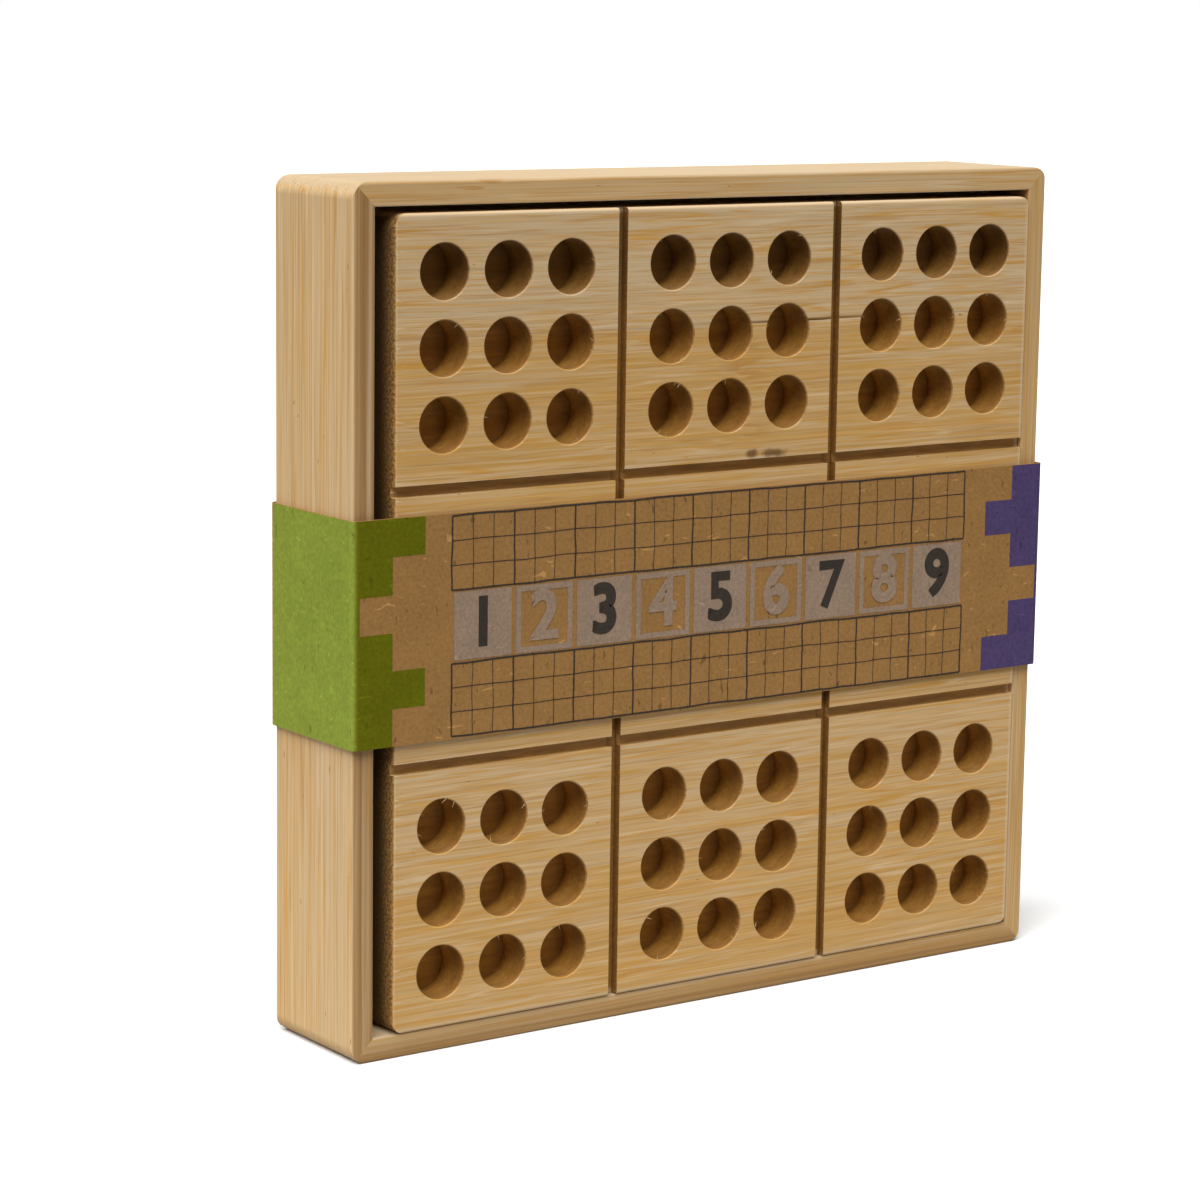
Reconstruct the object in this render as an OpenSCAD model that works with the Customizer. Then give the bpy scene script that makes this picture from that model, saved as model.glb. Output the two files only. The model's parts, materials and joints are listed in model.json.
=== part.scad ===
// Sudoku board: a mitred tray that holds a lift-out peg board, with the number pegs
// stored behind it and a paper band around its middle.
// X runs to the right, Y from the playing face to the back, and Z up. The tray stands on its
// bottom rail, and the origin is the middle of that rail's underside.

/* [Peg board] */
// Diameter of the peg holes
hole_d = 10; // [8:0.5:14]
// Thickness of the drilled ply, which is the depth of the peg holes
hole_depth = 7.5; // [5:0.5:12]
// Easing around the mouth of each peg hole
hole_easing = 0.25; // [0.1:0.05:0.6]
// Wood between two neighbouring holes of one block
hole_web = 3.6; // [2:0.1:8]
// Wood and groove between the nearest holes of two neighbouring blocks
block_web = 12.8; // [8:0.1:20]
// Wood between the outermost holes and the edge of the board
edge_web = 5.3; // [3:0.1:12]
// Thickness of the backing ply, which closes the peg holes
floor_t = 4.5; // [2:0.5:8]
// Width of the grooves that part the nine blocks
groove_w = 2; // [1:0.1:4]
// Depth of the two upright grooves, across the grain
upright_groove_depth = 1.8; // [0.8:0.1:3]
// Depth of the two level grooves, along the grain
level_groove_depth = 1.4; // [0.8:0.1:3]
// Radius of the board's four corners, seen from the front
board_corner_r = 2.6; // [1:0.1:4]
// Rounding of the board's long edges
board_edge_r = 0.6; // [0.3:0.1:1]

/* [Tray] */
// Thickness of the four rails
rail_t = 4.4; // [3.5:0.1:8]
// Radius of the tray's four corners, seen from the front
tray_corner_r = 3.2; // [1:0.1:4]
// Rounding of the tray's long outer edges
tray_edge_r = 0.6; // [0.3:0.1:1]
// Easing of the rails' inner front edges
rail_easing = 0.2; // [0.1:0.05:0.6]
// Open gap between the left rail and the board
side_gap = 3.8; // [1:0.05:8]
// Open gap between the top rail and the board
top_gap = 1.3; // [0.5:0.05:5]
// Clearance between the board and the rails and ledges that it rests against
seat_clearance = 0.1; // [0.1:0.05:0.5]
// How far the board's playing face stands out in front of the rails
board_proud = 0.5; // [0:0.1:1]
// Thickness of the base panel that closes the back
base_t = 3; // [2:0.5:5]
// Share of the rail's thickness that the base panel is let into
rebate_share = 0.5; // [0.3:0.05:0.6]
// Clearance around the base panel in its rebate
base_clearance = 0.1; // [0.05:0.05:0.2]
// Width of the ledges that the board rests on
ledge_w = 4; // [2:0.5:6]

/* [Pegs] */
// Difference between the diameters of the holes and the pegs
peg_clearance = 0.5; // [0.2:0.1:1]
// Chamfer at both ends of a peg
peg_chamfer = 0.6; // [0.2:0.1:1.2]
// Gap between pegs that lie on each other
peg_gap = 0.2; // [0.1:0.05:0.4]
// Gap between neighbouring columns of pegs
column_gap = 0.9; // [0.4:0.1:2]
// Spare room between the pegs and the walls in front of and behind them
peg_room = 3; // [1:0.1:6]

/* [Paper band] */
// Height of the band
band_h = 41; // [20:1:80]
// Height of the band's lower edge above the foot of the tray
band_rise = 58; // [20:1:80]
// Thickness of the card
band_t = 0.4; // [0.2:0.05:0.45]
// Gap between the band and what it goes around
band_gap = 0.5; // [0.45:0.05:1]
// Width of the glued lap at the back
lap_w = 16; // [8:1:30]

/* [Hidden] */
$fn = 64;
// Cuts run this far past the surface that they start from
overrun = 1;

// A sudoku grid has 3 by 3 blocks of 3 by 3 holes, and 9 pegs of each of 9 digits
block_count = 3;
digit_count = block_count * block_count;
offsets = [for (i = [0:block_count - 1]) i - (block_count - 1) / 2];

hole_pitch = hole_d + hole_web;
block_span = (block_count - 1) * hole_pitch + hole_d;
block_pitch = block_span + block_web;
board_w = block_count * block_span + (block_count - 1) * block_web + 2 * edge_web;
board_h = board_w;
board_t = hole_depth + floor_t;

opening_w = board_w + side_gap + seat_clearance;
opening_h = board_h + top_gap + seat_clearance;
tray_w = opening_w + 2 * rail_t;
tray_h = opening_h + 2 * rail_t;

peg_d = hole_d - peg_clearance;
store_d = peg_d + peg_room;
tray_d = board_t - board_proud + store_d + base_t;

front_y = -tray_d / 2;
back_y = tray_d / 2;
face_y = front_y - board_proud;
store_y = face_y + board_t;
ledge_y = store_y + seat_clearance;
base_y = back_y - base_t;

// The board is pushed against the right rail and stands on the bottom rail
board_x = opening_w / 2 - seat_clearance - board_w / 2;
board_z = rail_t + seat_clearance + board_h / 2;

rebate = rail_t * rebate_share;
ledge_d = base_y - ledge_y;

store_w = opening_w - 2 * ledge_w;
store_foot = rail_t + ledge_w;
column_pitch = store_w / digit_count;
peg_len = column_pitch - column_gap;
peg_pitch = peg_d + peg_gap;
peg_y = store_y + store_d / 2;

bamboo = "burlywood";
bamboo_end = "tan";
kraft = "peru";

function peg_node(digit) = str("pegs_", digit);
function column_x(digit) = (digit - (digit_count + 1) / 2) * column_pitch;
function peg_z(row) = store_foot + peg_gap + peg_d / 2 + row * peg_pitch;

// Rectangle with round corners, centred
module round_rect(w, h, r) {
    square([w - 2 * r, h], center = true);
    square([w, h - 2 * r], center = true);
    for (x = [-1, 1], y = [-1, 1])
        translate([x * (w / 2 - r), y * (h / 2 - r)]) circle(r);
}

// Block with round corners in its front view and eased edges in the other two, centred
module eased_block(w, d, h, corner_r, edge_r) {
    intersection() {
        rotate([90, 0, 0]) linear_extrude(d, center = true) round_rect(w, h, corner_r);
        linear_extrude(h, center = true) round_rect(w, d, edge_r);
        rotate([90, 0, 90]) linear_extrude(w, center = true) round_rect(d, h, edge_r);
    }
}

// The tray's outer form, which the mitred rails are cut from
module tray_block() {
    translate([0, 0, tray_h / 2])
        eased_block(tray_w, tray_d, tray_h, tray_corner_r, tray_edge_r);
}

// Space that the base panel is let into, larger than the opening by a rebate all round
module rebate_cut() {
    cut_w = opening_w + 2 * rebate;
    cut_h = opening_h + 2 * rebate;
    translate([-cut_w / 2, base_y, rail_t - rebate]) cube([cut_w, base_t + overrun, cut_h]);
}

// Rail with the given front outline, a rear rebate and eased inner front edges
module rail(outline) {
    difference() {
        intersection() {
            tray_block();
            translate([0, back_y, 0]) rotate([90, 0, 0]) linear_extrude(tray_d) polygon(outline);
        }
        rebate_cut();
        easing_cuts();
    }
}

// Square bars turned on edge, which ease the four inner front edges of the opening
module easing_cuts() {
    bar = rail_easing * sqrt(2);
    for (side = [-1, 1]) {
        translate([side * opening_w / 2, front_y, tray_h / 2])
            rotate([0, 0, 45]) cube([bar, bar, opening_h], center = true);
        translate([0, front_y, tray_h / 2 + side * opening_h / 2])
            rotate([45, 0, 0]) cube([opening_w, bar, bar], center = true);
    }
}

// Upright rail, with mitred ends: side is -1 at the left and 1 at the right
module side_rail(side) {
    outer = side * tray_w / 2;
    inner = side * opening_w / 2;
    outline = [
        [outer, 0],
        [inner, rail_t],
        [inner, tray_h - rail_t],
        [outer, tray_h]
    ];
    color(bamboo) rail(outline);
}

// Level rail, with mitred ends, between two heights
module level_rail(outer, inner) {
    outline = [
        [-tray_w / 2, outer],
        [-opening_w / 2, inner],
        [opening_w / 2, inner],
        [tray_w / 2, outer]
    ];
    color(bamboo) rail(outline);
}

module base_panel() {
    panel_w = opening_w + 2 * (rebate - base_clearance);
    panel_h = opening_h + 2 * (rebate - base_clearance);
    panel_foot = rail_t - rebate + base_clearance;
    color(bamboo_end) translate([-panel_w / 2, base_y, panel_foot]) cube([panel_w, base_t, panel_h]);
}

// Ledge glued inside an upright rail: side is -1 at the left and 1 at the right
module side_ledge(side) {
    x = side * (opening_w - ledge_w) / 2;
    color(bamboo_end)
        translate([x - ledge_w / 2, ledge_y, rail_t]) cube([ledge_w, ledge_d, opening_h]);
}

// Ledge glued inside a level rail, between the two upright ones
module level_ledge(foot) {
    color(bamboo_end) translate([-store_w / 2, ledge_y, foot]) cube([store_w, ledge_d, ledge_w]);
}

// What the drill takes out of the drilled ply: a hole along +Z with an eased mouth
module hole_cut() {
    r = hole_d / 2;
    mouth_r = r + hole_easing;
    end = hole_depth + overrun;
    profile = [
        [0, -overrun],
        [mouth_r, -overrun],
        [mouth_r, 0],
        [r, hole_easing],
        [r, end],
        [0, end]
    ];
    rotate_extrude() polygon(profile);
}

module hole_cuts() {
    for (block_col = offsets, block_row = offsets, col = offsets, row = offsets) {
        x = block_col * block_pitch + col * hole_pitch;
        z = block_row * block_pitch + row * hole_pitch;
        translate([x, 0, z]) rotate([-90, 0, 0]) hole_cut();
    }
}

module groove_cuts() {
    reach = board_w + 2 * overrun;
    for (side = [-1, 1]) {
        middle = side * block_pitch / 2;
        translate([middle - groove_w / 2, -overrun, -reach / 2])
            cube([groove_w, overrun + upright_groove_depth, reach]);
        translate([-reach / 2, -overrun, middle - groove_w / 2])
            cube([reach, overrun + level_groove_depth, groove_w]);
    }
}

// The board's outer form between two depths below the playing face
module ply(top, bottom) {
    intersection() {
        translate([0, board_t / 2, 0])
            eased_block(board_w, board_t, board_h, board_corner_r, board_edge_r);
        translate([-board_w / 2, top, -board_h / 2]) cube([board_w, bottom - top, board_h]);
    }
}

// Drilled and grooved front ply of the board
module peg_board() {
    color(bamboo) translate([board_x, face_y, board_z]) difference() {
        ply(0, hole_depth);
        hole_cuts();
        groove_cuts();
    }
}

// Plain backing ply, glued on behind the holes
module board_back() {
    color(bamboo_end) translate([board_x, face_y, board_z]) ply(hole_depth, board_t);
}

// Closed band of card with a glued lap inside its back
module paper_band() {
    inner_w = tray_w + 2 * band_gap;
    inner_d = tray_d + board_proud + 2 * band_gap;
    inner_r = tray_edge_r + band_gap;
    color(kraft) translate([0, -board_proud / 2, band_rise]) linear_extrude(band_h) {
        difference() {
            round_rect(inner_w + 2 * band_t, inner_d + 2 * band_t, inner_r + band_t);
            round_rect(inner_w, inner_d, inner_r);
        }
        translate([-lap_w / 2, inner_d / 2 - band_t]) square([lap_w, band_t + band_t / 2]);
    }
}

// Peg with chamfered ends, lying along X
module peg() {
    r = peg_d / 2;
    end_r = r - peg_chamfer;
    half = peg_len / 2;
    shoulder = half - peg_chamfer;
    profile = [
        [0, -half],
        [end_r, -half],
        [r, -shoulder],
        [r, shoulder],
        [end_r, half],
        [0, half]
    ];
    rotate([0, 90, 0]) rotate_extrude() polygon(profile);
}

// The nine pegs of one digit, lying on each other in their column
module pegs(digit) {
    color(bamboo_end) for (row = [0:digit_count - 1])
        translate([column_x(digit), peg_y, peg_z(row)]) peg();
}

side_rail(-1);  // left_rail
side_rail(1);  // right_rail
level_rail(tray_h, tray_h - rail_t);  // top_rail
level_rail(0, rail_t);  // bottom_rail
base_panel();
side_ledge(-1);  // left_ledge
side_ledge(1);  // right_ledge
level_ledge(tray_h - rail_t - ledge_w);  // top_ledge
level_ledge(rail_t);  // bottom_ledge
peg_board();
board_back();
paper_band();
for (digit = [1:digit_count])
    pegs(digit);
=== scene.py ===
"""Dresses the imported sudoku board: bamboo tray and peg board, number pegs and printed paper band.

Lengths are in metres, angles of fields in degrees, and colours in linear RGB. In the finishes, a share
says how strongly something shows, an edge where it starts and ends, and a fit is a gain and a floor.
"""

import json
import logging
import math
from dataclasses import dataclass, field, replace
from enum import Enum
from functools import reduce
from typing import Any, Iterable, Iterator, NamedTuple

import bpy
from mathutils import Euler, Matrix, Vector


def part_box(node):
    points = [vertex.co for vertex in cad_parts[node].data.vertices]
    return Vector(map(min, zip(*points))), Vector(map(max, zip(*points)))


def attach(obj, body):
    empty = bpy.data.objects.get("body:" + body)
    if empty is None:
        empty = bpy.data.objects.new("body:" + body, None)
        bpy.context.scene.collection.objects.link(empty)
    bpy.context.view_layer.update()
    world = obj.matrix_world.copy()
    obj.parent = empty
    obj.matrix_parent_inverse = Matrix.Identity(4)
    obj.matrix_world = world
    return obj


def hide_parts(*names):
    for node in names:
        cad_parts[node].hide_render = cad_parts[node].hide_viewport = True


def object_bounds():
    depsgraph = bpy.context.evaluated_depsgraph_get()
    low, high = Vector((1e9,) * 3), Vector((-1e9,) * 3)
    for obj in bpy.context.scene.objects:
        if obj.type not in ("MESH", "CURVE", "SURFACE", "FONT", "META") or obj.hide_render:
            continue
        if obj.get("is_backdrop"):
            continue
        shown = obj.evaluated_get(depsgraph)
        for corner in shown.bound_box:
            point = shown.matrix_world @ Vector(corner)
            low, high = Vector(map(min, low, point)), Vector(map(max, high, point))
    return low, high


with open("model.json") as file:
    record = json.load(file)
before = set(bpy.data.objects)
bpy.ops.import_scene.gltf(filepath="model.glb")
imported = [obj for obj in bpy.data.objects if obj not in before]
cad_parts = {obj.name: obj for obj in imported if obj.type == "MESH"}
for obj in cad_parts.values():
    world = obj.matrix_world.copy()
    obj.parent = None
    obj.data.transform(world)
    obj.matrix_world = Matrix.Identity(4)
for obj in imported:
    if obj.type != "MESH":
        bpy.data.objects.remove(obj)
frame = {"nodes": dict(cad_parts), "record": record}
CAD_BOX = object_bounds()

LOG = logging.getLogger("sudoku_board")
MM = 0.001
DIGITS = 9
HALF = (0.5, 0.5, 0.5)
WHITE = (1.0, 1.0, 1.0)
BUMP_STRENGTH = 0.3
BUMP_DEPTH = 0.00006
RIM_LIFT = 0.000015
RIM_POINTS = 32
SLIVER_TIP = 0.00001
SLIVER_SIDES = 4
SLIVER_GROWTH = (0.35, 1.0)
SLIVER_SWING = ((-0.9, -0.04, -0.9), (0.9, 0.30, 0.9))
STROKE_POINTS = 41
SWAY_SCALE = 150.0
FLAT_FRONT = -0.9
LEAN_FRONT = -0.2
NOT_BACK = 0.5
LEAST_SHARE = 0.001

Colour = tuple[float, float, float]
Point = tuple[float, float, float]
Range = tuple[float, float]
Socket = bpy.types.NodeSocket
Triple = tuple[Socket, Socket, Socket]
Coat = tuple[Socket, Any]
Material = bpy.types.Material
Mesh = bpy.types.Mesh
Piece = bpy.types.Object

HONEY: Colour = (0.540, 0.282, 0.062)
AMBER: Colour = (0.430, 0.205, 0.045)
HUSK: Colour = (0.680, 0.530, 0.340)


class Axis(Enum):
    """Axis of the part, with its place in a vector."""

    X = 0
    Y = 1
    Z = 2


class Layer(Enum):
    """Layer of the band's print, with its height in print lifts."""

    PANEL = 1.0
    RULE = 1.5
    CELL = 2.0
    NUMERAL = 3.0


class Parts(NamedTuple):
    """Components of a vector."""

    x: Socket
    y: Socket
    z: Socket


class Graph:
    """Short-hand for building one node tree."""

    def __init__(self, tree: bpy.types.NodeTree) -> None:
        """Keeps the tree that nodes are added to."""
        self.tree = tree

    def feed(self, socket: Socket, value: Any) -> None:
        """Links a socket into an input, or sets the input's own value.

        Args:
            socket: Input socket to fill.
            value: Output socket to link, or a plain value.
        """
        if isinstance(value, Socket):
            self.tree.links.new(value, socket)
        elif isinstance(value, tuple) and len(value) == 3 and socket.type == "RGBA":
            socket.default_value = (*value, 1.0)
        else:
            socket.default_value = value

    def node(self, kind: str, inputs: dict[Any, Any] | None = None, **settings: Any) -> bpy.types.Node:
        """Adds a node.

        Args:
            kind: Blender's node type.
            inputs: Values or sockets by input name or number.
            settings: Properties of the node.

        Returns:
            The new node.
        """
        made = self.tree.nodes.new(kind)
        for key, value in settings.items():
            setattr(made, key, value)
        for key, value in (inputs or {}).items():
            self.feed(made.inputs[key], value)
        return made

    def first(self, kind: str, inputs: dict[Any, Any] | None = None, **settings: Any) -> Socket:
        """Adds a node as node() does, and returns its first output."""
        return self.node(kind, inputs, **settings).outputs[0]

    def math(self, operation: str, *values: Any, clamp: bool = False) -> Socket:
        """Returns the result of a Math node on the given values or sockets."""
        return self.first("ShaderNodeMath", dict(enumerate(values)), operation=operation, use_clamp=clamp)

    def times(self, *values: Any) -> Socket:
        """Returns the product of the values, multiplied in their order."""
        return reduce(lambda product, value: self.math("MULTIPLY", product, value), values)

    def minus(self, value: Any, less: Any) -> Socket:
        """Returns the difference of two values."""
        return self.math("SUBTRACT", value, less)

    def fit(self, value: Any, gain: Any, floor: Any, clamp: bool = False) -> Socket:
        """Returns the value times the gain, plus the floor."""
        return self.math("MULTIPLY_ADD", value, gain, floor, clamp=clamp)

    def below(self, value: Any, limit: float) -> Socket:
        """Returns 1 where the value is less than the limit, else 0."""
        return self.math("LESS_THAN", value, limit)

    def vector(self, operation: str, *values: Any) -> Socket:
        """Returns the result of a Vector Math node on the given values or sockets."""
        made = self.node("ShaderNodeVectorMath", dict(enumerate(values)), operation=operation)
        return made.outputs["Value" if operation in ("DOT_PRODUCT", "LENGTH") else "Vector"]

    def smooth(self, value: Any, edge: Range) -> Socket:
        """Returns a smooth rise from 0 at the start of the edge to 1 at its end."""
        inputs = {"Value": value, "From Min": edge[0], "From Max": edge[1]}
        return self.first("ShaderNodeMapRange", inputs, interpolation_type="SMOOTHSTEP")

    def fall(self, value: Any, edge: Range) -> Socket:
        """Returns 1 less the smooth rise."""
        return self.minus(1.0, self.smooth(value, edge))

    def mix(self, factor: Any, first: Any, second: Any, blend: str = "MIX") -> Socket:
        """Returns a mix of two colours.

        Args:
            factor: Share of the second colour.
            first: First colour or socket.
            second: Second colour or socket.
            blend: Blend type of the Mix node.

        Returns:
            The mixed colour.
        """
        made = self.node("ShaderNodeMix", data_type="RGBA", blend_type=blend)
        for place, value in ((0, factor), (6, first), (7, second)):
            self.feed(made.inputs[place], value)
        return made.outputs[2]

    def shaded(self, colour: Any, shade: Socket) -> Socket:
        """Returns a colour times one value."""
        return self.mix(1.0, colour, self.join(shade, shade, shade), "MULTIPLY")

    def noise(self, where: Socket, scale: float = 1.0, detail: float = 2.0, output: str = "Fac") -> Socket:
        """Returns a noise texture's value or colour at the given place."""
        made = self.node("ShaderNodeTexNoise", {"Vector": where, "Scale": scale, "Detail": detail})
        return made.outputs[output]

    def waves(self, where: Socket, scale: float, detail: float) -> Socket:
        """Returns a noise vector that swings about zero."""
        return self.vector("SUBTRACT", self.noise(where, scale, detail, "Color"), HALF)

    def split(self, vector: Socket) -> Parts:
        """Returns a vector's three components."""
        return Parts(*self.node("ShaderNodeSeparateXYZ", {0: vector}).outputs)

    def join(self, *values: Any) -> Socket:
        """Returns a vector of up to three components."""
        return self.first("ShaderNodeCombineXYZ", dict(enumerate(values)))

    def bell(self, distance: Socket) -> Socket:
        """Returns a bell curve that is 1 at distance 0."""
        return self.math("EXPONENT", self.times(self.times(distance, distance), -1.0))

    def finish(
        self, shader: bpy.types.Node, colour: Socket, rough: Socket, shine: float, height: Socket
    ) -> None:
        """Feeds a Principled shader.

        Args:
            shader: Shader of this tree.
            colour: Base colour.
            rough: Roughness.
            shine: Specular level.
            height: Height of the fine relief, from 0 to 1.
        """
        relief = {"Strength": BUMP_STRENGTH, "Distance": BUMP_DEPTH, "Height": height}
        self.feed(shader.inputs["Base Color"], colour)
        self.feed(shader.inputs["Roughness"], rough)
        self.feed(shader.inputs["Specular IOR Level"], shine)
        self.feed(shader.inputs["Normal"], self.first("ShaderNodeBump", relief))


def new_material(name: str) -> tuple[Material, Graph, bpy.types.Node]:
    """Makes a material with an empty tree but for its shader.

    Args:
        name: Name of the finish.

    Returns:
        The material, its graph and its Principled shader.
    """
    material = bpy.data.materials.new(name)
    material.use_nodes = True
    shader = material.node_tree.nodes["Principled BSDF"]
    return material, Graph(material.node_tree), shader


@dataclass(frozen=True)
class Strip:
    """One glued strip of bamboo, with places along it as shares of its length."""

    tone: float
    knuckle_share: float = 0.0
    joint_share: float = 0.0


@dataclass(frozen=True)
class Stain:
    """Dark mark in the wood, as a ragged ellipse on the face."""

    middle: Point
    half: Point
    scale: float = 420.0
    ragged: float = 0.9
    edge: Range = (0.75, 1.35)
    share: float = 0.8


@dataclass(frozen=True)
class Weave:
    """Noise that is stretched along the grain, with the edge that cuts it and the share that shows."""

    along: float
    across: float
    detail: float = 2.0
    edge: Range = (0.0, 1.0)
    share: float = 1.0


@dataclass(frozen=True)
class Ridge:
    """Thin broken lines along the grain, where a stretched noise is at its middle."""

    along: float
    across: float
    width: float
    share: float
    tint: Colour
    broken: float = 3.0
    edge: Range = (0.42, 0.60)


@dataclass(frozen=True)
class Dense:
    """Denser, darker fibres towards one side of a piece."""

    axis: Axis
    edge: Range
    colour: Colour = (0.300, 0.160, 0.056)
    fit: Range = (2.2, -0.3)
    front: Range = (0.2, 0.6)


@dataclass(frozen=True)
class Bores:
    """The holes and grooves that are cut into a face, with depths as shares of the holes' depth."""

    face: float
    depth: float
    radius: float
    middle: Vector
    block: float
    step: float
    # The end grain darkens inwards from the front: painted shade for the gap beside the board.
    end_shade_depth: float
    end_shade_begin: float = 0.1
    end_shade_share: float = 0.9
    margin: float = 0.0009
    groove_reach: float = 0.0013
    # Brown of the cut walls: partly the cut fibres, partly painted shade.
    cut: Colour = (0.220, 0.096, 0.017)
    groove: Colour = (0.370, 0.200, 0.058)
    # Lighter brown deeper down: painted light on the lower walls and floors.
    deep_painted_light: Colour = (0.510, 0.245, 0.042)
    share: float = 0.88
    mouth: Range = (0.005, 0.035)
    deep_light_edge: Range = (0.20, 0.75)
    # The top row of holes is browned darker: painted shade.
    top_row_shade_edge: Range = (0.86, 0.93)
    top_row_shade_gain: float = -0.42
    fuzz_fit: Range = (0.9, 0.55)
    # Umber where a hole's floor meets its wall: painted shade.
    crease_shade: Range = (0.80, 1.0)
    crease_shade_round: Range = (0.35, 1.0)
    crease_shade_share: float = 0.45
    ply: float = 0.63
    ply_w: float = 0.03
    ply_share: float = 0.25


@dataclass(frozen=True)
class Spot:
    """A shaded point: its place and normal, whole and in parts, and the strip that it lies in."""

    graph: Graph
    where: Socket
    at: Parts
    facing: Socket
    normal: Parts
    shares: Parts
    tone: Socket
    knuckle: Socket
    joint: Socket
    fibres: Socket


@dataclass(frozen=True)
class Bamboo:
    """Oiled bamboo with fine golden fibres along one axis and speckled end grain across it."""

    name: str
    low: Vector
    high: Vector
    grain: Axis = Axis.X
    stack: Axis = Axis.Z
    strips: tuple[Strip, ...] = (Strip(0.38),)
    strip_start: float = 0.0
    strip_w: float = 1.0
    strip_lap: float = 0.0007
    level: float = 1.0
    shortness: float = 1.0
    seed: float = 0.0
    stains: tuple[Stain, ...] = ()
    dense: Dense | None = None
    bores: Bores | None = None
    # Direction of the eased inner lip, which gets a pale line: painted highlight.
    lip: Point | None = None
    lip_highlight_edge: Range = (0.96, 0.995)
    lip_highlight_share: float = 0.6
    fray: float = 0.0
    fray_begin: float = 0.2
    # Pale band along the right, top and bottom borders of the front: painted highlight.
    edge_highlight: float = 0.0
    edge_highlight_begin: float = 0.3
    edge_highlight_share: float = 0.55
    # Greyer tone on faces that look up: painted sheen.
    top_sheen_share: float = 0.0
    top_sheen_edge: Range = (0.3, 0.8)
    end_share: float = 0.92
    end_edge: Range = (0.35, 0.85)
    pale: Colour = (0.565, 0.408, 0.232)
    gold: Colour = (0.540, 0.312, 0.100)
    umber: Colour = (0.105, 0.044, 0.009)
    # Pale colour of the painted highlight on the lip.
    painted_lip_highlight: Colour = (0.800, 0.660, 0.460)
    # Colour of the painted sheen on faces that look up.
    painted_top_sheen: Colour = (0.400, 0.360, 0.270)
    end_pale: Colour = (0.340, 0.180, 0.052)
    end_dark: Colour = (0.110, 0.050, 0.012)
    # Near-black end grain deep inside the board: painted shade.
    end_painted_shade: Colour = (0.030, 0.012, 0.002)
    knuckle_w: float = 0.006
    joint_w: float = 0.018
    joint_edge: Range = (0.008, 0.028)
    joint_fit: Range = (0.85, 0.12)
    wobble: float = 0.02
    wobble_scale: float = 90.0
    bend_scale: float = 160.0
    bend_fit: Range = (0.0006, 0.00010)
    broad: Weave = Weave(4.0, 170.0, share=0.9)
    streak: Weave = Weave(8.0, 2100.0, share=2.2)
    fine: Weave = Weave(40.0, 2600.0, 3.0, share=0.44)
    fine_floor: float = 0.78
    dash: Weave = Weave(150.0, 1400.0, 0.0, (0.52, 0.66), 0.6)
    speck: Weave = Weave(420.0, 1500.0, 0.0, (0.84, 0.90), 0.7)
    close: Weave = Weave(6.0, 1000.0)
    pores: Weave = Weave(500.0, 1900.0, 2.0, (0.38, 0.64))
    fuzz: Weave = Weave(170.0, 1300.0)
    torn: Weave = Weave(230.0, 1500.0, 0.0, (0.68, 0.76), 0.6)
    ridges: tuple[Ridge, ...] = (
        Ridge(6.0, 400.0, 0.020, 0.95, HONEY),
        Ridge(9.0, 1100.0, 0.035, 0.55, AMBER),
        Ridge(13.0, 1700.0, 0.050, 0.75, HONEY),
        Ridge(8.0, 640.0, 0.022, 0.40, HUSK),
    )
    rough_fit: Range = (0.12, 0.58)
    shine: float = 0.15

    @property
    def span(self) -> Vector:
        """Size of the piece's box."""
        return self.high - self.low

    def material(self) -> Material:
        """Builds the finish's node material.

        Returns:
            A material that reads Object coordinates and normals.
        """
        material, graph, shader = new_material(self.name)
        spot = self.spot(graph)
        colour, streak, fine = self.fibre_colour(spot)
        for part in (self.marks, self.ends, self.cuts, self.wear):
            for amount, tint in part(spot):
                colour = graph.mix(amount, colour, tint)
        height = graph.fit(fine, 0.5, graph.times(streak, 0.5))
        graph.finish(shader, colour, graph.fit(streak, *self.rough_fit), self.shine, height)
        return material

    def spot(self, graph: Graph) -> Spot:
        """Finds where a shaded point lies in the piece.

        Args:
            graph: Graph of the material.

        Returns:
            The point, with fibres that waver a little, and more at a knuckle.
        """
        coordinates = graph.node("ShaderNodeTexCoord").outputs
        where, facing = coordinates["Object"], coordinates["Normal"]
        offset = graph.vector("SUBTRACT", where, tuple(self.low))
        shares = graph.split(graph.vector("DIVIDE", offset, tuple(self.span)))
        tone, knuckle, joint = self.strip_values(graph, shares)
        waves = graph.waves(where, self.bend_scale, 1.0)
        reach = graph.fit(knuckle, *self.bend_fit)
        shift = graph.first("ShaderNodeVectorMath", {0: waves, "Scale": reach}, operation="SCALE")
        fibres = graph.vector("ADD", where, shift)
        at, normal = graph.split(where), graph.split(facing)
        return Spot(graph, where, at, facing, normal, shares, tone, knuckle, joint, fibres)

    def strip_values(self, graph: Graph, shares: Parts) -> Triple:
        """Looks up the strip that a point lies in.

        Args:
            graph: Graph of the material.
            shares: The point's place in the piece's box.

        Returns:
            The strip's tone, a bell over its knuckle, and a bell along its dark joint.
        """
        ramp = graph.node("ShaderNodeValToRGB", {0: shares[self.stack.value]})
        ramp.color_ramp.interpolation = "CONSTANT"
        stops = ramp.color_ramp.elements
        while len(stops) > 1:
            stops.remove(stops[-1])
        depth = self.span[self.stack.value]
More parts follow.
